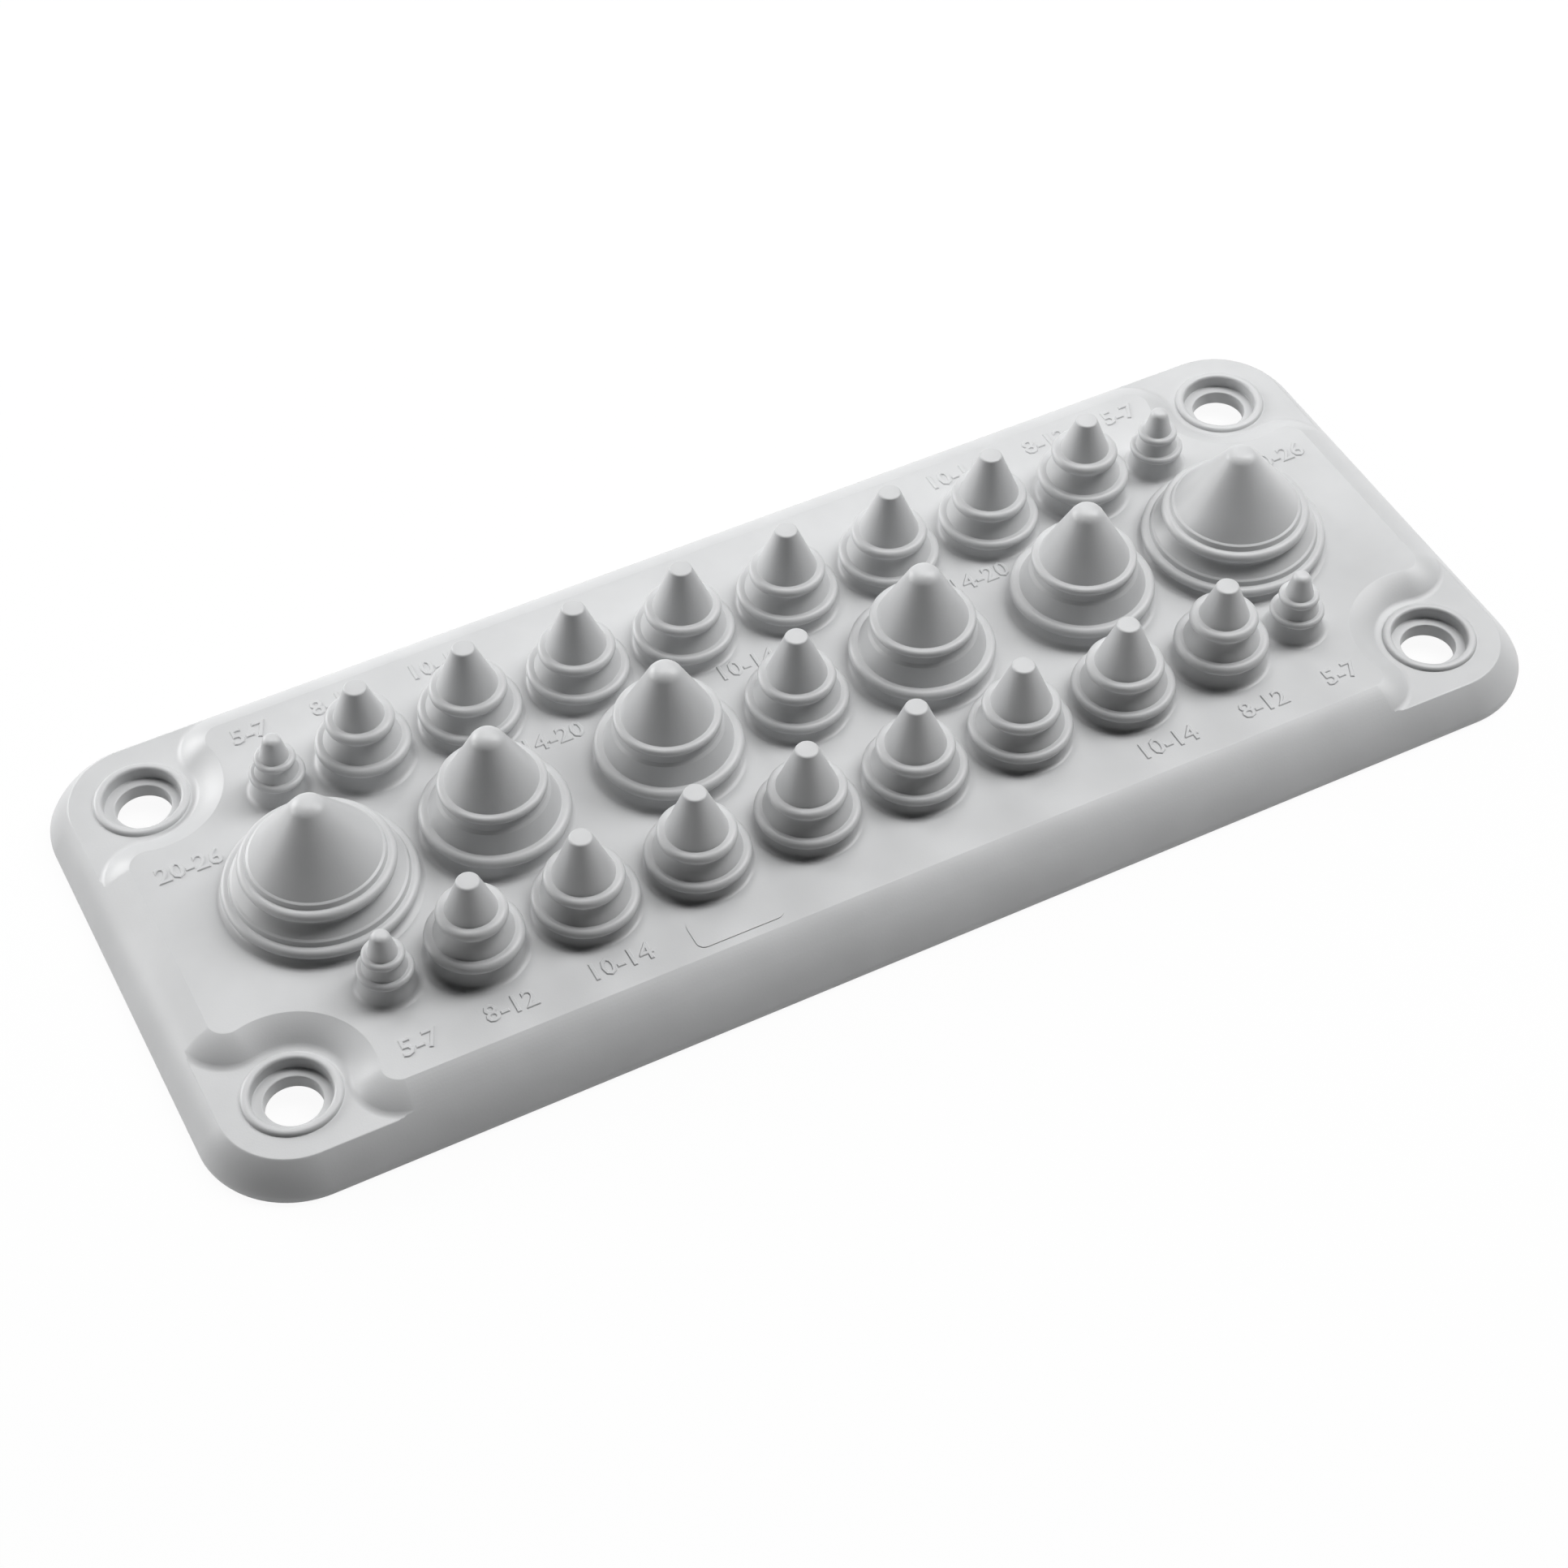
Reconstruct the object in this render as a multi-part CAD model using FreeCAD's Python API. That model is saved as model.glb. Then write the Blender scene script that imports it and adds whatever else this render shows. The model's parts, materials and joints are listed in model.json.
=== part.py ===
# A cable entry plate for an enclosure wall, moulded in one piece from a soft grey elastomer.
# Stepped hollow cones stand on a raised plateau. The installer cuts a cone at the ring that
# suits the cable, and the rim that is left grips and seals it. Four screws hold the plate
# down, each through a lipped counterbore on a lowered corner.
# Millimetres. The origin is the middle of the underside, +X along the length, +Z outwards.

import FreeCAD
import Part
import math
import os

# Screws and outline
SCREW_SPACING_X = 185.0
SCREW_SPACING_Y = 60.0
EDGE_MARGIN = 14.1      # screw centre to the foot of the wall, and the foot's corner radius
FOOT_LAND = 1.0         # upright band at the foot of the wall
CORNER_HEIGHT = 5.5     # underside to the four lowered corners
WALL_LEAN = 3.4         # how far the wall leans in from the foot to the corner level
WALL_ROUND = 1.2        # rounding where the wall meets the lowered corners

# Plateau and corner recesses
PLATEAU_RISE = 2.5      # plateau above the lowered corners
SLOPE_RUN = 4.3         # width of the slope round the plateau, seen from above
RECESS_RADIUS = 8.1     # foot of the slope round each screw
KNEE_RADIUS = 2.6       # outward bends of the plateau's edge beside each recess

# Lipped screw holes
LIP_RADIUS = 7.0
LIP_WIDTH = 1.25
LIP_HEIGHT = 0.6
LEDGE_DEPTH = 1.65      # ledge under the screw head, below the lowered corner
SCREW_HOLE_RADIUS = 4.1

# Underside
RIM_WIDTH = 5.0         # sealing rim round the underside
RIM_DEPTH = 1.7         # how far the rim stands below the inner face

# Cones: what all sizes share
ROW_Y = 20.4            # the two outer rows, from the middle row
ROW_PITCH = 17.55       # spacing of the 10 to 14 mm cones along an outer row
SKIN = 1.1              # wall of a cone
POINT_RADIUS = 0.2      # blunt point of the hollow inside a cone
SHOULDER_DROP = 0.5     # how far a step's shoulder falls to its outer edge
FLAT_DEPTH = 0.18       # how far a flat on a cone's outside may lie inside the true circle
INNER_FLAT_DEPTH = 0.27     # the same for the hollow, which is seen from below only

# The next five groups give each size of cone. Radii are the outermost of each step, heights are above
# the plateau, SHOULDER is the flat ring from the surface above out to a step's edge, and FLARE is how
# far the foot spreads past the lower step.

# Cone that takes cables of 5 to 7 mm
PLACE_X_5_7 = 74.2
TIP_RADIUS_5_7 = 1.1
TIP_HEIGHT_5_7 = 11.3
UPPER_RADIUS_5_7 = 2.95
UPPER_HEIGHT_5_7 = 7.5
LOWER_RADIUS_5_7 = 4.0
LOWER_HEIGHT_5_7 = 4.3
SHOULDER_5_7 = 0.7
FLARE_5_7 = 0.9

# Cone that takes cables of 8 to 12 mm
PLACE_X_8_12 = 60.8
TIP_RADIUS_8_12 = 1.5
TIP_HEIGHT_8_12 = 15.0
UPPER_RADIUS_8_12 = 4.9
UPPER_HEIGHT_8_12 = 8.6
LOWER_RADIUS_8_12 = 6.95
LOWER_HEIGHT_8_12 = 4.0
SHOULDER_8_12 = 1.0
FLARE_8_12 = 0.9

# Cone that takes cables of 10 to 14 mm
TIP_RADIUS_10_14 = 1.5
TIP_HEIGHT_10_14 = 15.0
UPPER_RADIUS_10_14 = 5.4
UPPER_HEIGHT_10_14 = 7.1
LOWER_RADIUS_10_14 = 7.55
LOWER_HEIGHT_10_14 = 3.4
SHOULDER_10_14 = 1.0
FLARE_10_14 = 0.7

# Cone that takes cables of 14 to 20 mm
INNER_X_14_20 = 21.05
OUTER_X_14_20 = 48.75
TIP_RADIUS_14_20 = 1.65
TIP_HEIGHT_14_20 = 18.8
UPPER_RADIUS_14_20 = 7.75
UPPER_HEIGHT_14_20 = 9.5
LOWER_RADIUS_14_20 = 11.35
LOWER_HEIGHT_14_20 = 4.0
SHOULDER_14_20 = 1.1
FLARE_14_20 = 0.5

# Cone that takes cables of 20 to 26 mm
PLACE_X_20_26 = 75.8
TIP_RADIUS_20_26 = 1.65
TIP_HEIGHT_20_26 = 18.6
UPPER_RADIUS_20_26 = 11.2
UPPER_HEIGHT_20_26 = 7.4
LOWER_RADIUS_20_26 = 14.3
LOWER_HEIGHT_20_26 = 2.8
SHOULDER_20_26 = 1.7
FLARE_20_26 = 0.5


def flats_round(radius, depth):
    """Even number of flats that keeps a ring within the given depth of its circle."""
    return 2 * math.ceil(math.pi / math.acos(1 - depth / radius) / 2)


class Cone:
    """One size of stepped cone, named by the thinnest and thickest cable that it takes."""

    def __init__(self, places, tip_radius, tip_height, upper_radius, upper_height,
                 lower_radius, lower_height, shoulder, flare):
        self.places = places
        self.tip_radius = tip_radius
        self.tip_height = tip_height
        self.upper_radius = upper_radius
        self.upper_height = upper_height
        self.lower_radius = lower_radius
        self.lower_height = lower_height
        self.shoulder = shoulder
        self.flare = flare


def both_rows(x_values):
    """The same places in both outer rows and both halves of the plate."""
    spots = [(x, y) for x in x_values for y in (ROW_Y, -ROW_Y)]
    return spots + [(-x, y) for x, y in spots]


def middle_row(x_values):
    """Mirrored places on the middle row."""
    return [(side * x, 0.0) for x in x_values for side in (-1, 1)]


CONE_5_7 = Cone(both_rows([PLACE_X_5_7]),
                TIP_RADIUS_5_7, TIP_HEIGHT_5_7, UPPER_RADIUS_5_7, UPPER_HEIGHT_5_7,
                LOWER_RADIUS_5_7, LOWER_HEIGHT_5_7, SHOULDER_5_7, FLARE_5_7)
CONE_8_12 = Cone(both_rows([PLACE_X_8_12]),
                 TIP_RADIUS_8_12, TIP_HEIGHT_8_12, UPPER_RADIUS_8_12, UPPER_HEIGHT_8_12,
                 LOWER_RADIUS_8_12, LOWER_HEIGHT_8_12, SHOULDER_8_12, FLARE_8_12)
CONE_10_14 = Cone(both_rows([ROW_PITCH * (n + 0.5) for n in range(3)]) + [(0.0, 0.0)],
                  TIP_RADIUS_10_14, TIP_HEIGHT_10_14, UPPER_RADIUS_10_14, UPPER_HEIGHT_10_14,
                  LOWER_RADIUS_10_14, LOWER_HEIGHT_10_14, SHOULDER_10_14, FLARE_10_14)
CONE_14_20 = Cone(middle_row([INNER_X_14_20, OUTER_X_14_20]),
                  TIP_RADIUS_14_20, TIP_HEIGHT_14_20, UPPER_RADIUS_14_20, UPPER_HEIGHT_14_20,
                  LOWER_RADIUS_14_20, LOWER_HEIGHT_14_20, SHOULDER_14_20, FLARE_14_20)
CONE_20_26 = Cone(middle_row([PLACE_X_20_26]),
                  TIP_RADIUS_20_26, TIP_HEIGHT_20_26, UPPER_RADIUS_20_26, UPPER_HEIGHT_20_26,
                  LOWER_RADIUS_20_26, LOWER_HEIGHT_20_26, SHOULDER_20_26, FLARE_20_26)
CONES = [CONE_5_7, CONE_8_12, CONE_10_14, CONE_14_20, CONE_20_26]

# Worked out from the sizes above
HALF_LENGTH = SCREW_SPACING_X / 2 + EDGE_MARGIN
HALF_WIDTH = SCREW_SPACING_Y / 2 + EDGE_MARGIN
PLATEAU_HEIGHT = CORNER_HEIGHT + PLATEAU_RISE
INNER_FACE = RIM_DEPTH
SCREWS = [(sx * SCREW_SPACING_X / 2, sy * SCREW_SPACING_Y / 2)
          for sx in (-1, 1) for sy in (-1, 1)]
UP = FreeCAD.Vector(0, 0, 1)


def point(x, y, z):
    return FreeCAD.Vector(x, y, z)


def rounded_rectangle(half_x, half_y, radius, z):
    """Closed wire of four sides and four corner arcs, started on the right side."""
    edges = []
    for turn in range(4):
        out = (half_x, half_y) if turn % 2 == 0 else (half_y, half_x)
        angle = turn * 90
        centre = (out[0] - radius, out[1] - radius)
        line_start = turned((out[0], -centre[1]), angle, z)
        line_end = turned((out[0], centre[1]), angle, z)
        middle = radius * math.sqrt(0.5)
        arc_middle = turned((centre[0] + middle, centre[1] + middle), angle, z)
        arc_end = turned((centre[0], out[1]), angle, z)
        edges.append(Part.makeLine(line_start, line_end))
        edges.append(Part.Arc(line_end, arc_middle, arc_end).toShape())
    return Part.Wire(edges)


def turned(spot, degrees, z):
    """A plan point turned about the middle of the plate."""
    c = math.cos(math.radians(degrees))
    s = math.sin(math.radians(degrees))
    return point(spot[0] * c - spot[1] * s, spot[0] * s + spot[1] * c, z)


def arc_about(centre, radius, start_deg, end_deg, z):
    """Arc in plan about a centre, from one bearing to another."""
    ends = []
    for degrees in (start_deg, (start_deg + end_deg) / 2, end_deg):
        a = math.radians(degrees)
        ends.append(point(centre[0] + radius * math.cos(a), centre[1] + radius * math.sin(a), z))
    return Part.Arc(*ends).toShape()


def plateau_outline(spread, z):
    """Outline of the plateau, grown outwards by spread.

    Each corner steps in round its screw: a knee, a hollow arc about the screw, and a knee,
    each tangent to the next, so a spread outline keeps the same centres.
    """
    knee = KNEE_RADIUS + spread
    hollow = RECESS_RADIUS + SLOPE_RUN - spread
    reach = RECESS_RADIUS + SLOPE_RUN + KNEE_RADIUS
    edge_x = HALF_LENGTH - WALL_LEAN - SLOPE_RUN
    edge_y = HALF_WIDTH - WALL_LEAN - SLOPE_RUN
    screw_x = SCREW_SPACING_X / 2
    screw_y = SCREW_SPACING_Y / 2
    side_x = edge_x - KNEE_RADIUS
    side_y = screw_y - math.sqrt(reach ** 2 - (side_x - screw_x) ** 2)
    end_y = edge_y - KNEE_RADIUS
    end_x = screw_x - math.sqrt(reach ** 2 - (end_y - screw_y) ** 2)
    side_bearing = math.degrees(math.atan2(screw_y - side_y, screw_x - side_x))
    end_bearing = math.degrees(math.atan2(screw_y - end_y, screw_x - end_x))
    quarter = [((side_x, side_y), knee, 0.0, side_bearing),
               ((screw_x, screw_y), hollow, side_bearing - 180.0, end_bearing - 180.0),
               ((end_x, end_y), knee, end_bearing, 90.0)]
    edges = []
    for sx, sy in ((1, 1), (-1, 1), (-1, -1), (1, -1)):
        arcs = [arc_about(centre, radius, a0, a1, z) for centre, radius, a0, a1 in quarter]
        if sx < 0:
            arcs = [arc.mirror(point(0, 0, 0), point(1, 0, 0)) for arc in arcs]
        if sy < 0:
            arcs = [arc.mirror(point(0, 0, 0), point(0, 1, 0)) for arc in arcs]
        if sx * sy < 0:
            arcs.reverse()
        edges += arcs
    return joined(edges)


def joined(arcs):
    """Close a ring of arcs with straight sides between the ones that don't touch."""
    ring = []
    for arc, following in zip(arcs, arcs[1:] + arcs[:1]):
        ring.append(arc)
        here = arc_ends(arc)
        there = arc_ends(following)
        a, b = min(((p, q) for p in here for q in there), key=lambda pair: (pair[0] - pair[1]).Length)
        if (a - b).Length > 1e-6:
            ring.append(Part.makeLine(a, b))
    return Part.Wire(Part.__sortEdges__(ring))


def arc_ends(arc):
    return [vertex.Point for vertex in arc.Vertexes]


def plate_body():
    """The wall and the lowered corners, with the rounded edge at corner level."""
    foot = rounded_rectangle(HALF_LENGTH, HALF_WIDTH, EDGE_MARGIN, 0)
    land = rounded_rectangle(HALF_LENGTH, HALF_WIDTH, EDGE_MARGIN, FOOT_LAND)
    crown = rounded_rectangle(HALF_LENGTH - WALL_LEAN, HALF_WIDTH - WALL_LEAN,
                              EDGE_MARGIN - WALL_LEAN, CORNER_HEIGHT)
    upright = Part.makeLoft([foot, land], True, True)
    leaning = Part.makeLoft([land, crown], True, True)
    body = upright.fuse(leaning).removeSplitter()
    top_edges = [e for e in body.Edges if at_height(e, CORNER_HEIGHT)]
    return body.makeFillet(WALL_ROUND, top_edges)


def at_height(edge, z):
    box = edge.BoundBox
    return abs(box.ZMin - z) < 1e-6 and abs(box.ZMax - z) < 1e-6


def plateau():
    """The plateau and the slope round it, sunk a little way into the plate."""
    wall_angle = math.atan2(CORNER_HEIGHT - FOOT_LAND, WALL_LEAN)
    slope_angle = math.atan2(PLATEAU_RISE, SLOPE_RUN)
    edge_inset = WALL_ROUND * math.tan(wall_angle / 2)
    touch_out = WALL_ROUND * math.sin(slope_angle) - edge_inset
    touch_down = WALL_ROUND * (1 - math.cos(slope_angle))
    top_spread = touch_out - (PLATEAU_RISE + touch_down) / math.tan(slope_angle)
    spread = SLOPE_RUN + touch_out
    sunk = plateau_outline(spread, INNER_FACE + SKIN)
    foot = plateau_outline(spread, CORNER_HEIGHT - touch_down)
    crown = plateau_outline(SLOPE_RUN + top_spread, PLATEAU_HEIGHT)
    block = Part.makeLoft([sunk, foot], True, True).fuse(Part.makeLoft([foot, crown], True, True))
    return block.removeSplitter()


def revolved(spots):
    """Solid of revolution about the Z axis from (radius, height) corners."""
    points = [point(r, 0, z) for r, z in spots]
    outline = Part.makePolygon(points + points[:1])
    return Part.Face(outline).revolve(point(0, 0, 0), UP, 360)


def faceted(spots, sides):
    """Round solid from (radius, height) corners, with each level a regular polygon.

    Each polygon has the area of its circle, so the faceted cone keeps the round one's volume.
    """
    growth = math.sqrt(2 * math.pi / (sides * math.sin(2 * math.pi / sides)))
    rings = []
    for radius, height in spots:
        ring = []
        for n in range(sides):
            a = 2 * math.pi * n / sides
            ring.append(point(radius * growth * math.cos(a), radius * growth * math.sin(a), height))
        rings.append(ring)
    faces = [flat_face(rings[0]), flat_face(rings[-1])]
    for lower, upper in zip(rings, rings[1:]):
        for n in range(sides):
            m = (n + 1) % sides
            corners = [lower[n], lower[m], upper[m], upper[n]]
            faces.append(flat_face(corners))
    shell = Part.makeShell(faces)
    shell.sewShape()
    return Part.makeSolid(shell)


def flat_face(corners):
    return Part.Face(Part.makePolygon(corners + corners[:1]))


def cone_outside(cone):
    """Outer form of a cone: flared foot, lower step, neck, upper step, cone and blunt tip."""
    base = PLATEAU_HEIGHT
    foot = cone.lower_radius + cone.flare
    spots = [(foot, INNER_FACE + SKIN), (foot, base)]
    for radius, height in ((cone.lower_radius, cone.lower_height), (cone.upper_radius, cone.upper_height)):
        spots.append((radius, base + height - SHOULDER_DROP))
        spots.append((radius - cone.shoulder, base + height))
    spots.append((cone.tip_radius, base + cone.tip_height))
    return faceted(spots, flats_round(cone.lower_radius, FLAT_DEPTH))


def cone_hollow(cone):
    """Space inside a cone, open at the underside, one skin inside the outer form."""
    base = PLATEAU_HEIGHT
    throat = cone.lower_radius - SKIN
    throat_top = base + cone.lower_height - 2 * SKIN
    point_top = base + cone.tip_height - SKIN
    spots = [(throat, -RIM_DEPTH), (throat, throat_top), (POINT_RADIUS, point_top)]
    return faceted(spots, flats_round(throat, INNER_FLAT_DEPTH))


def screw_lip():
    """Lip that stands on a lowered corner round the counterbore."""
    inner = LIP_RADIUS - LIP_WIDTH
    sunk = CORNER_HEIGHT - LIP_HEIGHT
    top = CORNER_HEIGHT + LIP_HEIGHT
    return revolved([(inner, sunk), (LIP_RADIUS, sunk), (LIP_RADIUS, CORNER_HEIGHT),
                     (LIP_RADIUS - LIP_WIDTH / 2, top), (inner, top)])


def screw_bore():
    """Counterbore down to the ledge, and the through hole below it."""
    head = Part.makeCylinder(LIP_RADIUS - LIP_WIDTH, LEDGE_DEPTH + LIP_HEIGHT,
                             point(0, 0, CORNER_HEIGHT - LEDGE_DEPTH))
    hole = Part.makeCylinder(SCREW_HOLE_RADIUS, CORNER_HEIGHT)
    return head.fuse(hole)


def underside_recess():
    """Shallow recess that leaves the sealing rim standing round the underside."""
    lower = rounded_rectangle(HALF_LENGTH - RIM_WIDTH, HALF_WIDTH - RIM_WIDTH,
                              EDGE_MARGIN - RIM_WIDTH, 0)
    return Part.Face(lower).extrude(point(0, 0, RIM_DEPTH))


def copies(form, spots):
    """The same form at each plan spot."""
    placed = []
    for x, y in spots:
        copy = form.copy()
        copy.translate(point(x, y, 0))
        placed.append(copy)
    return placed


def entry_plate():
    """The whole moulding."""
    body = plate_body().fuse(plateau())
    added = copies(screw_lip(), SCREWS)
    removed = copies(screw_bore(), SCREWS) + [underside_recess()]
    for cone in CONES:
        added += copies(cone_outside(cone), cone.places)
        removed += copies(cone_hollow(cone), cone.places)
    return body.fuse(added).cut(removed)


os.makedirs("parts", exist_ok=True)
shape = entry_plate()
shape.exportStep("parts/entry_plate.step")
print("solids", len(shape.Solids), "valid", shape.isValid(), "volume", round(shape.Volume))
print("box", shape.BoundBox)
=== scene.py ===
import json
import math

import bmesh
import bpy
from mathutils import Matrix, Vector


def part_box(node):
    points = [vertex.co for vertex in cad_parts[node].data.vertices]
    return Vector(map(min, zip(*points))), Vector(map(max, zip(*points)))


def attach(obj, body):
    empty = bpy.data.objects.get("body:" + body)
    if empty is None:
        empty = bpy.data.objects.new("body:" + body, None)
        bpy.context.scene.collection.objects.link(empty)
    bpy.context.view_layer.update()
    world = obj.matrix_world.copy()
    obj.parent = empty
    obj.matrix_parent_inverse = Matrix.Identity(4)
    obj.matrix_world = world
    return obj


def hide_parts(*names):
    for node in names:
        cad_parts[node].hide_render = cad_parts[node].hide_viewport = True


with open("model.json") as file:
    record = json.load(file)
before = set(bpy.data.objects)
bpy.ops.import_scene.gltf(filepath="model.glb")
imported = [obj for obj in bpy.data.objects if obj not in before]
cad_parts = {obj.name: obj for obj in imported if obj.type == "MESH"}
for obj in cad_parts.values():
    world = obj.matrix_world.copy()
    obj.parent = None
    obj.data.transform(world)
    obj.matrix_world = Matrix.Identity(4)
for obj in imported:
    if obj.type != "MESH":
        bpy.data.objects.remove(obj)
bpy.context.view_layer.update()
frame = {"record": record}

# The plate is one moulding of soft light grey elastomer. Its blank is a rounded mound with an upright
# land at the foot, a side that bends inwards in one long curve, and a crisp edge round its flat top.
MM = 0.001
plate_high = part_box("entry_plate")[1]
half_length = plate_high.x
half_width = plate_high.y
corner_radius = 14.1 * MM
land_height = 1.0 * MM          # upright band at the foot
corner_level = 5.5 * MM         # underside to the four lowered corners
plateau_rise = 2.5 * MM         # plateau above the lowered corners
plateau_level = corner_level + plateau_rise
side_bend = 13.4 * MM           # radius of the side's long curve
side_angle = math.radians(41)   # how steep the side is at the four corners' level
crest_radius = 0.4 * MM         # rounding of the edge round the flat top
CORNER_STEPS = 32
SIDE_STEPS = 8
CREST_STEPS = 3
CLOSE = 0.01 * MM               # points nearer than this are one point
SPARE = 0.03 * MM               # keeps two surfaces that would coincide apart for the cut


def edit(piece):
    """Opens one piece in edit mode, with nothing else selected."""
    bpy.ops.object.select_all(action="DESELECT")
    piece.select_set(True)
    bpy.context.view_layer.objects.active = piece
    bpy.ops.object.mode_set(mode="EDIT")


def leave():
    """Leaves edit mode."""
    bpy.ops.object.mode_set(mode="OBJECT")


def pick_edges(piece, test):
    """Selects the edges that pass a test, in edit mode."""
    bpy.ops.mesh.select_mode(type="EDGE")
    bpy.ops.mesh.select_all(action="DESELECT")
    shape = bmesh.from_edit_mesh(piece.data)
    found = [e for e in shape.edges if test(e)]
    for e in found:
        e.select_set(True)
    bmesh.update_edit_mesh(piece.data)


def pick_faces(piece, test):
    """Selects the faces that pass a test, in edit mode."""
    bpy.ops.mesh.select_mode(type="FACE")
    bpy.ops.mesh.select_all(action="DESELECT")
    shape = bmesh.from_edit_mesh(piece.data)
    found = [f for f in shape.faces if test(f)]
    for f in found:
        f.select_set(True)
    bmesh.update_edit_mesh(piece.data)


def level_with(item, height):
    """Whether all corners of an edge or a face lie at one height."""
    return all(abs(v.co.z - height) < CLOSE for v in item.verts)


def arc_steps(radius, first_angle, last_angle, steps):
    """Runs and rises of the short chords that turn a slope from one angle to another."""
    turn = (last_angle - first_angle) / steps
    chord = abs(2 * radius * math.sin(turn / 2))
    middles = [first_angle + turn * (n + 0.5) for n in range(steps)]
    return [(chord * math.cos(a), chord * math.sin(a)) for a in middles]


def climb(steps):
    """Insets the selected face step by step, so that its edge follows a slope."""
    for run, rise in steps:
        bpy.ops.mesh.inset(thickness=run, depth=rise)


bpy.ops.object.select_all(action="DESELECT")
bpy.ops.mesh.primitive_plane_add(size=2, location=(0, 0, 0))
moulding = bpy.context.object
moulding.name = "entry_plate_moulding"
moulding.scale = (half_length, half_width, 1)
bpy.ops.object.transform_apply(location=False, rotation=False, scale=True)
edit(moulding)
bpy.ops.mesh.select_all(action="SELECT")
bpy.ops.mesh.bevel(offset=corner_radius, offset_type="OFFSET", segments=CORNER_STEPS, affect="VERTICES")
pick_faces(moulding, lambda f: True)
bpy.ops.mesh.extrude_region_move(TRANSFORM_OT_translate={"value": (0, 0, land_height)})
foot_angle = math.acos(math.cos(side_angle) - (corner_level - land_height) / side_bend)
crest_angle = math.acos((plateau_rise + side_bend * math.cos(side_angle) - crest_radius)
                        / (side_bend - crest_radius))
climb(arc_steps(side_bend, foot_angle, crest_angle, 2 * SIDE_STEPS))
climb(arc_steps(crest_radius, crest_angle, 0, CREST_STEPS))
climb([(SPARE, SPARE)])
leave()

# The four corners are lowered for the screws. The plateau that stays between them carries the cones, and
# steps back round each screw in a knee, a hollow arc and a second knee, with a soft crease at the foot.
screw_dims = next(m["dims"] for m in frame["record"]["mounts"] if m["name"] == "screws")
screw_x = screw_dims["spacing_x_mm"] / 2 * MM
screw_y = screw_dims["spacing_y_mm"] / 2 * MM
plateau_inset = 7.7 * MM        # from the plate's foot to the plateau's edge
recess_radius = 12.4 * MM       # from a screw's centre to the plateau's edge
knee_radius = 2.6 * MM
crease_width = 0.6 * MM         # softening where a corner's flat meets the plateau's slope
ridge_width = 0.12 * MM         # softening where a corner's flat breaks off to the side
SUNK = 2.0 * MM                 # how far the plateau's form reaches below the corners' level
BED_SPREAD = 1.2                # the bed's half side, in half lengths of the plate
ARC_STEPS = 20
FOLD_STEPS = 3
SLIGHT_FOLD = math.radians(12)  # edges that fold less than this stay as they are


def draw_outline(name, spread):
    """Closed outline of the plateau, grown outwards by spread, drawn as arcs and straight runs."""
    knee = knee_radius + spread
    reach = recess_radius + knee_radius
    side = Vector((half_length - plateau_inset - knee_radius, 0, 0))
    side.y = screw_y - math.sqrt(reach ** 2 - (side.x - screw_x) ** 2)
    end = Vector((0, half_width - plateau_inset - knee_radius, 0))
    end.x = screw_x - math.sqrt(reach ** 2 - (end.y - screw_y) ** 2)
    turn = math.atan2(screw_y - side.y, screw_x - side.x)
    end_turn = math.pi / 2 - math.atan2(screw_y - end.y, screw_x - end.x)
    hollow_turn = turn + end_turn - math.pi / 2
    drawing = bpy.data.meshes.new(name)
    drawing.from_pydata([(side.x + knee, 0, 0)], [], [])
    outline = bpy.data.objects.new(name, drawing)
    bpy.context.collection.objects.link(outline)
    edit(outline)
    bpy.ops.mesh.select_all(action="SELECT")
    bpy.ops.mesh.extrude_region_move(TRANSFORM_OT_translate={"value": (0, side.y, 0)})
    bpy.ops.mesh.spin(steps=ARC_STEPS, angle=-turn, center=side, axis=(0, 0, 1))
    bpy.ops.mesh.spin(steps=ARC_STEPS, angle=hollow_turn, center=(screw_x, screw_y, 0), axis=(0, 0, 1))
    bpy.ops.mesh.spin(steps=ARC_STEPS, angle=-end_turn, center=end, axis=(0, 0, 1))
    bpy.ops.mesh.extrude_region_move(TRANSFORM_OT_translate={"value": (-end.x, 0, 0)})
    leave()
    return outline


def apply_modifier(piece, kind, **settings):
    """Adds a modifier with its settings and applies it."""
    modifier = piece.modifiers.new(kind.lower(), kind)
    for name, value in settings.items():
        setattr(modifier, name, value)
    bpy.context.view_layer.objects.active = piece
    bpy.ops.object.modifier_apply(modifier=modifier.name)


foot_run = side_bend * (math.sin(foot_angle) - math.sin(side_angle))
former = draw_outline("former", plateau_inset - foot_run + SPARE)
apply_modifier(former, "MIRROR", use_axis=(True, True, False), merge_threshold=CLOSE)
edit(former)
bpy.ops.mesh.select_all(action="SELECT")
bpy.ops.mesh.remove_doubles(threshold=CLOSE)
bpy.ops.mesh.edge_face_add()
# The insets climb the way that the face looks, so it has to look up.
if bmesh.from_edit_mesh(former.data).faces[:][0].normal.z < 0:
    bpy.ops.mesh.flip_normals()
bpy.ops.transform.translate(value=(0, 0, corner_level - SUNK))
bpy.ops.mesh.extrude_region_move(TRANSFORM_OT_translate={"value": (0, 0, SUNK)})
climb(arc_steps(side_bend, side_angle, crest_angle, SIDE_STEPS))
climb(arc_steps(crest_radius, crest_angle, 0, CREST_STEPS))
leave()
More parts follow.
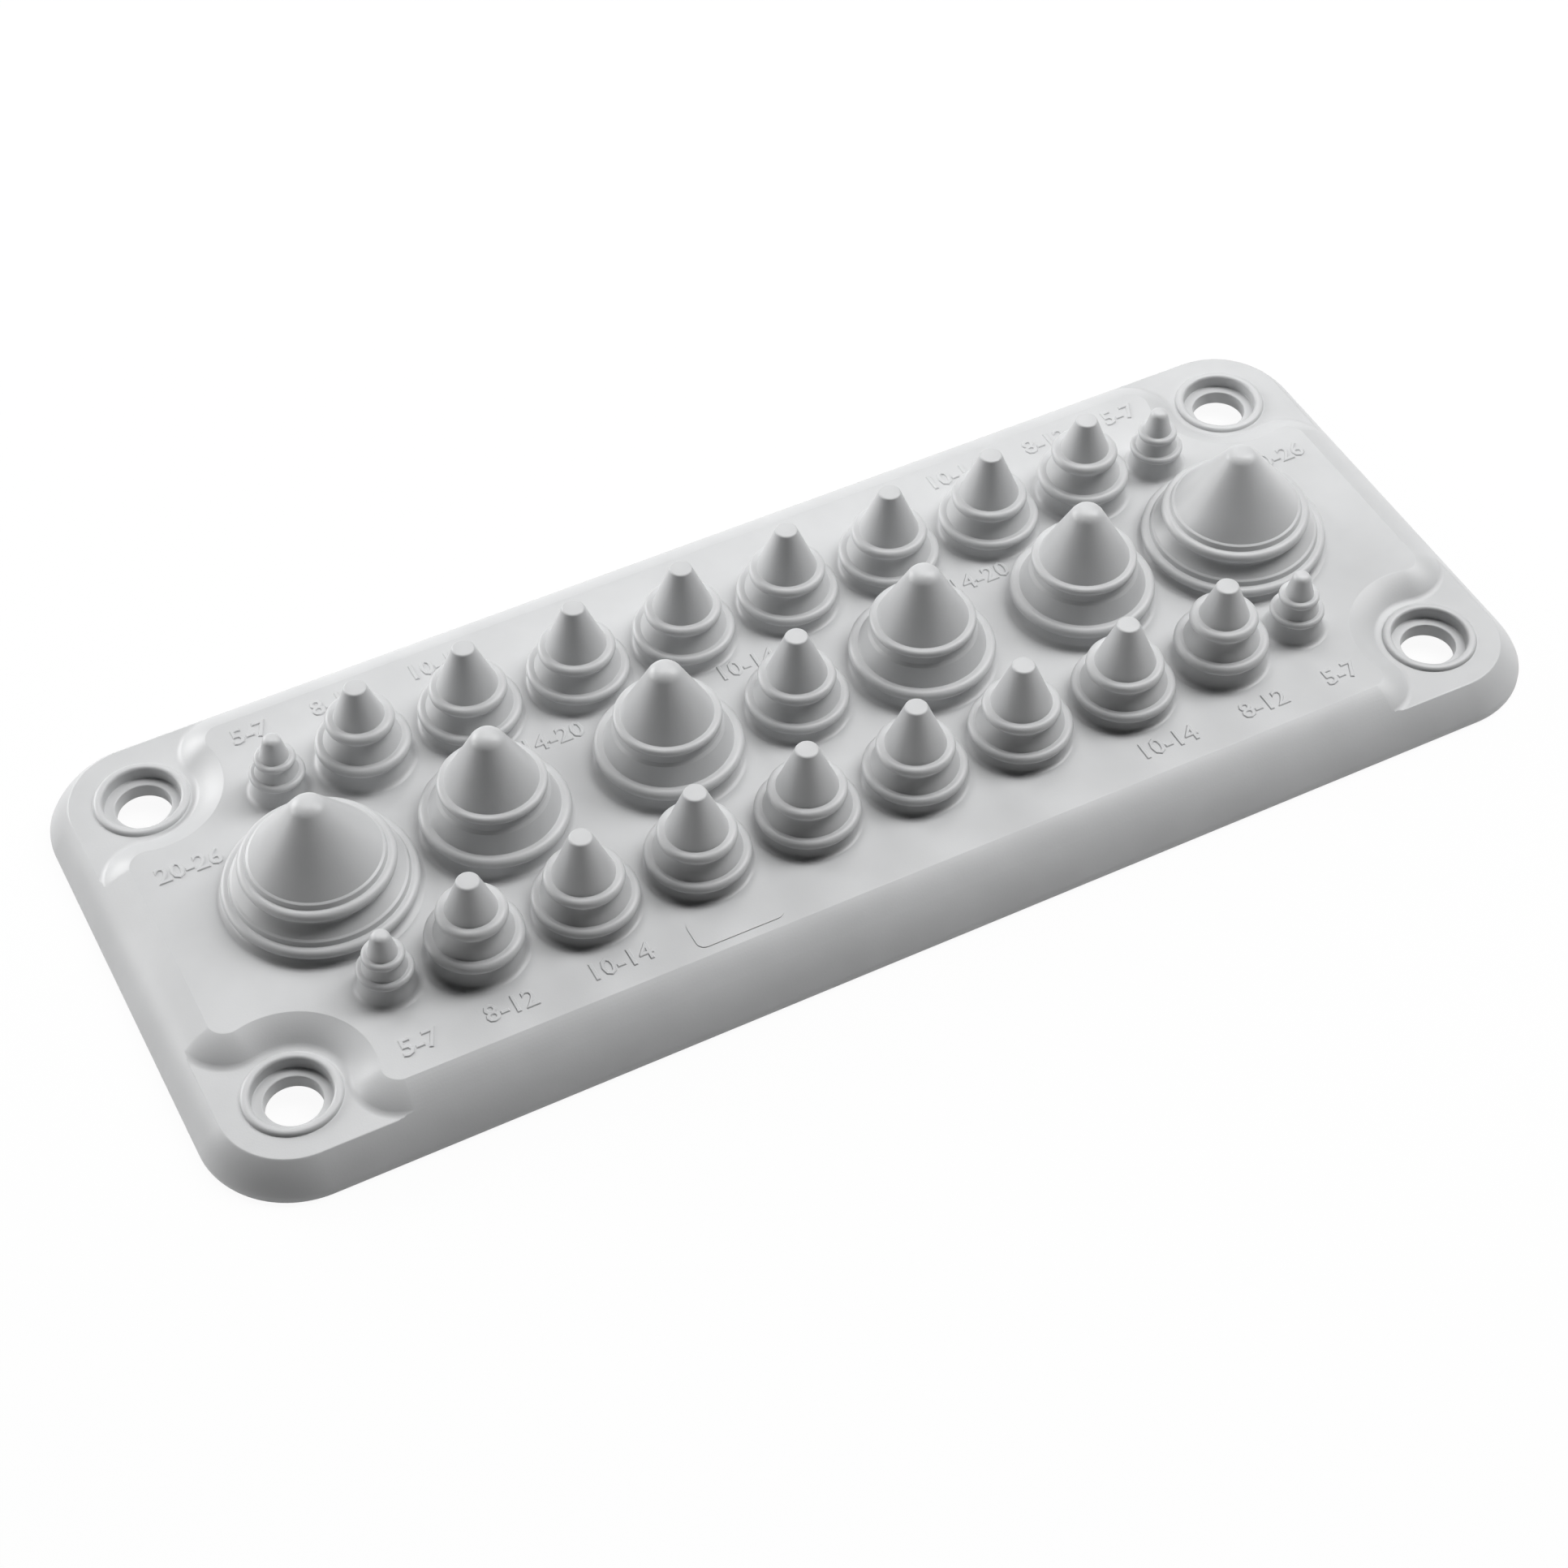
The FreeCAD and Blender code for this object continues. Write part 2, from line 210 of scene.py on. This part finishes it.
# The bed is a slab up to the corners' level with the plateau's form on it. What the blank and the bed
# share is the plate.
bpy.ops.object.select_all(action="DESELECT")
bpy.ops.mesh.primitive_cube_add(size=2, location=(0, 0, 0))
bed = bpy.context.object
bed.scale = (BED_SPREAD * half_length, BED_SPREAD * half_length, corner_level)
bpy.ops.object.transform_apply(location=False, rotation=False, scale=True)
for solid in (moulding, former):
    edit(solid)
    bpy.ops.mesh.select_all(action="SELECT")
    bpy.ops.mesh.normals_make_consistent(inside=False)
    leave()
apply_modifier(bed, "BOOLEAN", operation="UNION", solver="EXACT", object=former)
edit(bed)
pick_edges(bed, lambda e: level_with(e, corner_level) and e.is_manifold and not e.is_convex
           and e.calc_face_angle(0) > SLIGHT_FOLD)
bpy.ops.mesh.bevel(offset=crease_width, offset_type="OFFSET", segments=FOLD_STEPS, affect="EDGES")
leave()
apply_modifier(moulding, "BOOLEAN", operation="INTERSECT", solver="EXACT", object=bed)
bpy.data.objects.remove(former)
bpy.data.objects.remove(bed)
edit(moulding)
bpy.ops.mesh.select_all(action="SELECT")
bpy.ops.mesh.remove_doubles(threshold=CLOSE)
pick_edges(moulding, lambda e: level_with(e, corner_level) and e.is_manifold and e.is_convex
           and e.calc_face_angle(0) > 2 * SLIGHT_FOLD)
bpy.ops.mesh.bevel(offset=ridge_width, offset_type="OFFSET", segments=FOLD_STEPS, affect="EDGES")
leave()

# The underside isn't seen in use. The same moulding stands on a sealing rim that runs round its edge,
# and the rest of the face is recessed a little, so that only the rim is pressed on the enclosure.
rim_width = 5.0 * MM
rim_depth = 1.7 * MM
rim_edge = 0.3 * MM
RIM_STEPS = 2
BROAD = (5.0 * MM) ** 2     # a flat face is larger than this where other forms stand on it

edit(moulding)
pick_faces(moulding, lambda f: level_with(f, 0) and f.calc_area() > BROAD)
bpy.ops.mesh.inset(thickness=rim_width, depth=0)
bpy.ops.mesh.extrude_region_move(TRANSFORM_OT_translate={"value": (0, 0, rim_depth)})
pick_edges(moulding, lambda e: level_with(e, 0))
bpy.ops.mesh.bevel(offset=rim_edge, offset_type="OFFSET", segments=RIM_STEPS, affect="EDGES")
pick_faces(moulding, lambda f: level_with(f, rim_depth))
bpy.ops.mesh.inset(thickness=rim_edge, depth=0)
bpy.ops.mesh.delete(type="ONLY_FACE")
pick_faces(moulding, lambda f: level_with(f, plateau_level) and f.calc_area() > BROAD)
bpy.ops.mesh.inset(thickness=rim_edge, depth=0)
bpy.ops.mesh.delete(type="ONLY_FACE")
pick_faces(moulding, lambda f: level_with(f, corner_level) and f.calc_area() > BROAD)
bpy.ops.mesh.delete(type="ONLY_FACE")
leave()

# Each screw passes a counterbore in a lowered corner. A rounded lip stands round it, and its head bears
# on a ledge below the lip. All of it is moulded with the plate. These sizes are in millimetres.
lip_radius = 7.1
lip_width = 1.35
lip_height = 0.6
lip_outer_round = lip_width / 2.3
lip_inner_round = lip_width / 2.6
lip_flat = 0.4          # flat ring kept round the lip's foot
ledge_depth = 1.45
ledge_round = 0.15
hole_radius = screw_dims["hole_r_mm"]
hole_round = 0.2
hole_flat = 0.5         # flat ring kept round the hole on the inner face
draft = 0.05            # how far each upright wall leans, so that it leaves the mould
LIP_STEPS = 64
SEAM = 0.002 * MM       # points nearer than this are joined where a turned shape closes on itself
SMOOTH_TURN = math.radians(28)      # the most that a rounded corner turns in one chord
ARC_SHARE = 0.98        # how much of a stretch its two arcs may take up


def rounded(corners):
    """Outline in millimetres from (radius, height, rounding) corners, with an arc at each rounded one.

    Two neighbouring arcs share the stretch between them, so neither runs past the other.
    """
    points = [Vector(corners[0][:2])]
    for before, corner, after in zip(corners, corners[1:], corners[2:]):
        here = Vector(corner[:2])
        back = Vector(before[:2]) - here
        on = Vector(after[:2]) - here
        half = back.angle(on) / 2
        if not corner[2]:
            points.append(here)
            continue
        back_room = ARC_SHARE * back.length * corner[2] / (corner[2] + before[2])
        on_room = ARC_SHARE * on.length * corner[2] / (corner[2] + after[2])
        reach = min(corner[2] / math.tan(half), back_room, on_room)
        back.normalize()
        on.normalize()
        centre = here + (back + on).normalized() * reach / math.cos(half)
        first = here + back * reach - centre
        turn = first.angle_signed(here + on * reach - centre)
        steps = max(1, math.ceil(abs(turn) / SMOOTH_TURN))
        for n in range(steps + 1):
            spoke = first.copy()
            spoke.rotate(Matrix.Rotation(-turn * n / steps, 2))
            points.append(centre + spoke)
    points.append(Vector(corners[-1][:2]))
    return points


def turn_shape(name, points, steps):
    """Spins an outline about the Z axis into an open shell, as on a lathe."""
    drawing = bpy.data.meshes.new(name)
    corners = [(p.x * MM, 0, p.y * MM) for p in points]
    drawing.from_pydata(corners, [(n, n + 1) for n in range(len(corners) - 1)], [])
    shape = bpy.data.objects.new(name, drawing)
    bpy.context.collection.objects.link(shape)
    edit(shape)
    bpy.ops.mesh.select_all(action="SELECT")
    bpy.ops.mesh.spin(steps=steps, angle=2 * math.pi, center=(0, 0, 0), axis=(0, 0, 1))
    bpy.ops.mesh.select_all(action="SELECT")
    bpy.ops.mesh.remove_doubles(threshold=SEAM)
    leave()
    return shape


def place_copies(shape, spots):
    """Puts a copy of a shape, with its own mesh, at each plan spot in millimetres."""
    placed = []
    for x, y in spots:
        copy = shape.copy()
        copy.data = shape.data.copy()
        bpy.context.collection.objects.link(copy)
        copy.data.transform(Matrix.Translation((x * MM, y * MM, 0)))
        placed.append(copy)
    bpy.data.objects.remove(shape)
    return placed


ledge = corner_level / MM - ledge_depth
lip_top = corner_level / MM + lip_height
bore = lip_radius - lip_width
inner_face = rim_depth / MM
lip_outline = rounded([
    (lip_radius + lip_flat, corner_level / MM, 0),
    (lip_radius + draft, corner_level / MM, 2 * draft),
    (lip_radius - draft, lip_top, lip_outer_round),
    (bore, lip_top, lip_inner_round),
    (bore - draft, ledge, ledge_round),
    (hole_radius + draft, ledge, hole_round),
    (hole_radius, inner_face, hole_round),
    (hole_radius + hole_flat, inner_face, 0),
])
lips = place_copies(turn_shape("screw_lip", lip_outline, LIP_STEPS),
                    [(x * screw_x / MM, y * screw_y / MM) for x in (-1, 1) for y in (-1, 1)])

# Each cone is a hollow stepped cone on the plateau. Two rounded rings stand out from it over narrower
# necks, its foot runs out in a fillet, and the installer cuts it at the ring that suits the cable. The
# sizes are in millimetres again.
row_y = 20.4            # the two outer rows, from the middle row
row_pitch = 17.55       # spacing of the 10 to 14 mm cones along an outer row
place_5_7 = 74.2        # the other sizes stand at these distances from the plate's short middle line
place_8_12 = 60.8
inner_14_20 = 21.05
outer_14_20 = 48.75
place_20_26 = 75.8
skin = 1.25             # wall of a cone at its lower ring
point_radius = 0.2      # blunt point of the hollow inside a cone
throat_lean = 0.15      # how far the hollow widens at the underside
throat_round = 1.0      # rounding where the hollow starts to narrow
MARGIN = 0.12           # flat ring round each foot, so that the plateau stays flat up to it
NECK_SHARE = 0.48       # how far a neck stands inside its ring, as a share of the ring's thickness
UNDER_SHARE = 0.45      # rounding below a ring, as a share of its thickness
OVER_SHARE = 0.55       # rounding above it
RING_LIFT = 0.1         # how far a ring's lower edge stands above the neck's end
SHOULDER_DIP = 0.15     # how far a ring's shoulder falls towards the cone
SHOULDER_ROUND = 0.12
FILLET_SHARE = 0.45     # place of the fillet's corner, as a share of how far the foot spreads
FILLET_BEND = 0.9       # its rounding, as a share of the same
WAIST_LEAN = 0.1        # how much wider a plain neck is at its bend than under the upper ring
WAIST_SHARE = 0.8       # height of that bend, as a share of the neck
WAIST_ROUND = 0.8
TIP_FALL = 0.05         # how far the flat of a tip falls to its edge


def ring(radius, height, thick, shoulder):
    """Corners of a round ring, from the neck below it to the shoulder inside it."""
    return [(radius - NECK_SHARE * thick, height - thick, 0),
            (radius, height - thick + RING_LIFT, UNDER_SHARE * thick),
            (radius, height, OVER_SHARE * thick),
            (radius - shoulder, height - SHOULDER_DIP, SHOULDER_ROUND)]


def cone_outline(tip, upper, lower, foot, dome, neck=(), collar=()):
    """Outside of a cone from the foot up, in millimetres, with heights taken from the plateau.

    tip is (radius, height), and upper and lower are (radius, height, thickness, shoulder) of the rings.
    foot is the radius on the plateau, and dome is the rounding of the tip. neck and collar are corners to
    add between the rings and above each ring, given as (radius, height, rounding) from the ring below
    them. Without a neck of its own, a cone narrows in one soft curve to its upper ring.
    """
    wall = lower[0] - NECK_SHARE * lower[2]
    waist = upper[0] - NECK_SHARE * upper[2]
    flare = foot - wall
    corners = [(foot + MARGIN, 0, 0), (foot, 0, 0), (foot - FILLET_SHARE * flare, 0, FILLET_BEND * flare)]
    corners += ring(*lower)
    corners += [(lower[0] + out, lower[1] + up, bend) for out, up, bend in collar + neck]
    if not neck:
        neck_height = upper[1] - lower[1] - upper[2]
        corners.append((waist + WAIST_LEAN, lower[1] + WAIST_SHARE * neck_height, WAIST_ROUND))
    corners += ring(*upper)
    corners += [(upper[0] + out, upper[1] + up, bend) for out, up, bend in collar]
    corners += [(tip[0], tip[1] - TIP_FALL, dome), (0, tip[1], 0)]
    return [p + Vector((0, plateau_level / MM)) for p in rounded(corners)]


def hollow_outline(tip, lower):
    """Inside of a cone, in millimetres, from the underside up to its point."""
    base = plateau_level / MM
    throat = lower[0] - skin
    throat_top = base + lower[1] - 2 * skin
    point = base + tip[1] - skin
    return rounded([(throat + throat_lean, inner_face, 0),
                    (throat, inner_face, 0.1),
                    (throat, throat_top, throat_round),
                    (point_radius, point, point_radius),
                    (0, point, 0)])


both_rows = [(x, y) for x in (-1, 1) for y in (-row_y, row_y)]
row_spots = [(row_pitch * (n + 0.5), y) for n in range(-3, 3) for y in (-row_y, row_y)]
cones = {
    "cone_5_7": dict(
        spots=[(place_5_7 * x, y) for x, y in both_rows], steps=40, foot=5.1,
        tip=(1.22, 11.1), dome=0.9, upper=(3.08, 7.4, 1.25, 0.9), lower=(4.13, 4.4, 1.25, 0.9)),
    "cone_8_12": dict(
        spots=[(place_8_12 * x, y) for x, y in both_rows], steps=52, foot=7.8,
        tip=(1.65, 15.0), dome=0.35, upper=(5.15, 9.3, 1.85, 1.4), lower=(7.15, 4.6, 1.85, 1.4)),
    "cone_10_14": dict(
        spots=row_spots + [(0, 0)], steps=52, foot=8.2,
        tip=(1.65, 15.0), dome=0.35, upper=(5.85, 7.5, 1.7, 1.3), lower=(7.8, 3.35, 1.65, 1.3)),
    "cone_14_20": dict(
        spots=[(x, 0) for x in (-outer_14_20, -inner_14_20, inner_14_20, outer_14_20)], steps=72, foot=11.6,
        tip=(1.9, 18.8), dome=2.2, upper=(8.0, 9.4, 1.45, 1.15), lower=(11.1, 3.8, 1.95, 1.5),
        neck=((-2.8, 2.7, 0.1), (-3.25, 3.15, 0.1))),
    "cone_20_26": dict(
        spots=[(x, 0) for x in (-place_20_26, place_20_26)], steps=88, foot=14.75,
        tip=(1.9, 18.6), dome=2.2, upper=(11.35, 7.4, 1.9, 1.25), lower=(14.2, 2.8, 1.75, 1.25),
        collar=((-1.5, 0.6, 0.2), (-1.9, 0.75, 0.1))),
}
turned = []
for name, cone in cones.items():
    spots = cone.pop("spots")
    steps = cone.pop("steps")
    outside = turn_shape(name, cone_outline(**cone), steps)
    turned += place_copies(outside, spots)
    inside = turn_shape(name + "_hollow", hollow_outline(cone["tip"], cone["lower"]), steps // 2)
    turned += place_copies(inside, spots)

# Each cone's range of cable diameters stands beside it in shallow raised figures, and one low blank panel
# stands by the front edge. The mould leaves them, so they are part of the moulding.
figure_height = 3.15
figure_rise = 0.17
figure_edge = 0.12      # slope of each stroke's edges, which also widens the stroke
front_line = -31.9      # middle of the figures along the front edge, and next along the back edge
back_line = 32.7
panel_rise = 0.12
panel_corner = 1.3
panel_low = Vector((-33.2, -35.0))
panel_high = Vector((-19.6, -29.6))
PANEL_STEPS = 5
FIGURE_ROOT = 0.1       # how deep the figures and the panel reach into the plateau
FIGURE_SEAM = 0.001 * MM    # joins the corners that a figure's front, side and back share
CAP_SHARE = 0.729       # height of a capital in the typeface's own unit

# Each label is its text and the place of its middle.
labels = [("5-7", 74.6 * x + 0.3, y) for x in (-1, 1) for y in (front_line, back_line)]
labels += [("8-12", 61.0 * x + 0.4, y) for x in (-1, 1) for y in (front_line, back_line)]
labels += [("10-14", 44.4 * x + 0.4, y) for x in (-1, 1) for y in (front_line, back_line)]
labels += [("20-26", 91.5 * x + 0.3, 12.5) for x in (-1, 1)]
labels += [("14-20", -35.0, 10.8), ("14-20", 37.0, 10.8), ("10-14", -3.0, 11.0)]
figure_middle = plateau_level + (figure_rise - FIGURE_ROOT) / 2 * MM
figures = []
for text, x, y in labels:
    bpy.ops.object.text_add(location=(0, 0, 0))
    figure = bpy.context.object
    figure.name = "figures_" + text
    figure.data.body = text
    figure.data.size = figure_height / CAP_SHARE * MM
    figure.data.align_x = "CENTER"
    figure.data.align_y = "CENTER"
    figure.data.resolution_u = 2
    figure.data.extrude = ((figure_rise + FIGURE_ROOT) / 2 - figure_edge) * MM
    figure.data.bevel_depth = figure_edge * MM
    figure.data.bevel_resolution = 0
    bpy.ops.object.convert(target="MESH")
    bpy.ops.object.mode_set(mode="EDIT")
    bpy.ops.mesh.select_all(action="SELECT")
    bpy.ops.mesh.remove_doubles(threshold=FIGURE_SEAM)
    bpy.ops.transform.translate(value=(x * MM, y * MM, figure_middle))
    leave()
    figures.append(figure)
bpy.ops.object.select_all(action="DESELECT")
bpy.ops.mesh.primitive_cube_add(size=2, location=(0, 0, 0))
panel = bpy.context.object
panel.name = "blank_panel"
edit(panel)
bpy.ops.mesh.select_all(action="SELECT")
half = (panel_high - panel_low) / 2
bpy.ops.transform.resize(value=(half.x * MM, half.y * MM, (panel_rise + FIGURE_ROOT) / 2 * MM))
middle = (panel_high + panel_low) / 2
panel_middle = plateau_level + (panel_rise - FIGURE_ROOT) / 2 * MM
bpy.ops.transform.translate(value=(middle.x * MM, middle.y * MM, panel_middle))
pick_edges(panel, lambda e: e.calc_length() < 2 * (panel_rise + FIGURE_ROOT) * MM)
bpy.ops.mesh.bevel(offset=panel_corner * MM, offset_type="OFFSET", segments=PANEL_STEPS, affect="EDGES")
leave()
figures.append(panel)

# Everything is one moulding, so the lips and cones are closed into the plate: each flat face is filled
# between its own edge and the open rings that stand on it, which leaves one sealed skin.
SHARP_FOLD = math.radians(32)       # edges that fold more than this stay crisp
bpy.ops.object.select_all(action="DESELECT")
for shape in lips + turned + figures:
    shape.select_set(True)
moulding.select_set(True)
bpy.context.view_layer.objects.active = moulding
bpy.ops.object.join()
edit(moulding)
for height in (plateau_level, rim_depth):
    pick_edges(moulding, lambda e: e.is_boundary and level_with(e, height))
    bpy.ops.mesh.fill(use_beauty=True)
for x in (-1, 1):
    for y in (-1, 1):
        pick_edges(moulding, lambda e: e.is_boundary and level_with(e, corner_level)
                   and all(v.co.x * x > 0 and v.co.y * y > 0 for v in e.verts))
        bpy.ops.mesh.fill(use_beauty=True)
bpy.ops.mesh.select_all(action="SELECT")
bpy.ops.mesh.normals_make_consistent(inside=False)
leave()
bpy.ops.object.shade_smooth_by_angle(angle=SHARP_FOLD)
apply_modifier(moulding, "WEIGHTED_NORMAL", keep_sharp=True)

# The whole moulding is one soft elastomer, light grey through and through, with faint clouds in its tone.
# Its satin skin carries a fine grain from the mould.
deep_grey = (0.505, 0.51, 0.515, 1)
pale_grey = (0.54, 0.545, 0.55, 1)
CLOUDS_PER_METRE = 90
GRAINS_PER_METRE = 3500
grain_depth = 0.05 * MM
grain_strength = 0.2
satin = 0.4                 # roughness of the skin
elastomer = bpy.data.materials.new("grey_elastomer")
elastomer.use_nodes = True
nodes = elastomer.node_tree.nodes
links = elastomer.node_tree.links
skin_shader = nodes["Principled BSDF"]
place = nodes.new("ShaderNodeTexCoord")
mottle = nodes.new("ShaderNodeTexNoise")
mottle.inputs["Scale"].default_value = CLOUDS_PER_METRE
mottle.inputs["Detail"].default_value = 3
links.new(place.outputs["Object"], mottle.inputs["Vector"])
tone = nodes.new("ShaderNodeValToRGB")
tone.color_ramp.elements[0].position = 0.35
tone.color_ramp.elements[0].color = deep_grey
tone.color_ramp.elements[1].position = 0.7
tone.color_ramp.elements[1].color = pale_grey
links.new(mottle.outputs["Fac"], tone.inputs["Fac"])
links.new(tone.outputs["Color"], skin_shader.inputs["Base Color"])
skin_shader.inputs["Roughness"].default_value = satin
grain = nodes.new("ShaderNodeTexNoise")
grain.inputs["Scale"].default_value = GRAINS_PER_METRE
grain.inputs["Detail"].default_value = 2
links.new(place.outputs["Object"], grain.inputs["Vector"])
grain_bump = nodes.new("ShaderNodeBump")
grain_bump.inputs["Strength"].default_value = grain_strength
grain_bump.inputs["Distance"].default_value = grain_depth
links.new(grain.outputs["Fac"], grain_bump.inputs["Height"])
links.new(grain_bump.outputs["Normal"], skin_shader.inputs["Normal"])
moulding.data.materials.clear()
moulding.data.materials.append(elastomer)
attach(moulding, "root")
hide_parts("entry_plate")

# The stand-in studio: a plain white table that keeps the plate's shadow, and soft lamps above, behind
# and to both sides, with none in front.
TABLE_SIZE = 3.0
TABLE_GAP = 0.05 * MM       # keeps the table's face apart from the plate's foot
TABLE_GLOW = 0.94           # how much of the table's look is plain white, and the rest takes the shadow
bpy.ops.object.select_all(action="DESELECT")
bpy.ops.mesh.primitive_plane_add(size=TABLE_SIZE, location=(0, 0, -TABLE_GAP))
table = bpy.context.object
table.name = "table"
white = bpy.data.materials.new("white_table")
white.use_nodes = True
nodes = white.node_tree.nodes
links = white.node_tree.links
paper = nodes["Principled BSDF"]
paper.inputs["Base Color"].default_value = (0.8, 0.8, 0.8, 1)
paper.inputs["Roughness"].default_value = 1.0
paper.inputs["Specular IOR Level"].default_value = 0.0
glow = nodes.new("ShaderNodeEmission")
glow.inputs["Strength"].default_value = 1.0
ray = nodes.new("ShaderNodeLightPath")
seen = nodes.new("ShaderNodeMath")
seen.operation = "MAXIMUM"
links.new(ray.outputs["Is Camera Ray"], seen.inputs[0])
links.new(ray.outputs["Is Glossy Ray"], seen.inputs[1])
seen_through = nodes.new("ShaderNodeMath")
seen_through.operation = "MAXIMUM"
links.new(seen.outputs["Value"], seen_through.inputs[0])
links.new(ray.outputs["Is Transmission Ray"], seen_through.inputs[1])
share = nodes.new("ShaderNodeMath")
share.operation = "MULTIPLY"
share.inputs[1].default_value = TABLE_GLOW
links.new(seen_through.outputs["Value"], share.inputs[0])
blend = nodes.new("ShaderNodeMixShader")
links.new(share.outputs["Value"], blend.inputs["Fac"])
links.new(paper.outputs["BSDF"], blend.inputs[1])
links.new(glow.outputs["Emission"], blend.inputs[2])
links.new(blend.outputs["Shader"], nodes["Material Output"].inputs["Surface"])
table.data.materials.append(white)

# The room itself gives no light, so the lamps alone model the form.
room = bpy.data.worlds.new("room")
room.use_nodes = True
room.node_tree.nodes["Background"].inputs["Color"].default_value = (1, 1, 1, 1)
room.node_tree.nodes["Background"].inputs["Strength"].default_value = 0.0
bpy.context.scene.world = room


def soft_lamp(name, place, size, watts):
    """Square area lamp at a place in metres, aimed at the plate."""
    bpy.ops.object.light_add(type="AREA", location=place)
    lamp = bpy.context.object
    lamp.name = name
    lamp.data.shape = "SQUARE"
    lamp.data.size = size
    lamp.data.energy = watts
    lamp.rotation_euler = Vector(place).to_track_quat("Z", "Y").to_euler()


soft_lamp("lamp_right", (0.636, 0.0, 0.636), 0.4, 3.7)
soft_lamp("lamp_right_top", (0.36, 0.12, 0.816), 0.4, 3.8)
soft_lamp("lamp_back_right", (0.318, 0.551, 0.636), 0.4, 0.8)
soft_lamp("lamp_back_top", (0.0, 0.38, 0.816), 0.4, 2.0)
soft_lamp("lamp_back_left", (-0.423, 0.732, 0.308), 0.4, 4.4)
soft_lamp("lamp_left", (-0.753, 0.435, 0.233), 0.25, 2.0)

# The camera stands in front and to the left of the plate and looks down on it, as in the photograph. Its
# place and lens were fitted to that view of the plate.
AIM = Vector((-7.81, -10.89, 5.5)) * MM
DISTANCE = 488.26 * MM
AZIMUTH = math.radians(-26.196)
ELEVATION = math.radians(48.468)
ROLL = math.radians(-1.105)
LENS = 76.507
SENSOR_WIDTH = 36
bpy.ops.object.camera_add()
camera = bpy.context.object
camera.data.lens = LENS
camera.data.sensor_width = SENSOR_WIDTH
turn = (Matrix.Rotation(AZIMUTH, 4, "Z") @ Matrix.Rotation(math.pi / 2 - ELEVATION, 4, "X")
        @ Matrix.Rotation(ROLL, 4, "Z"))
camera.matrix_world = Matrix.Translation(AIM) @ turn @ Matrix.Translation((0, 0, DISTANCE))
bpy.context.scene.camera = camera

bpy.context.scene.view_settings.view_transform = "Standard"
bpy.context.view_layer.update()
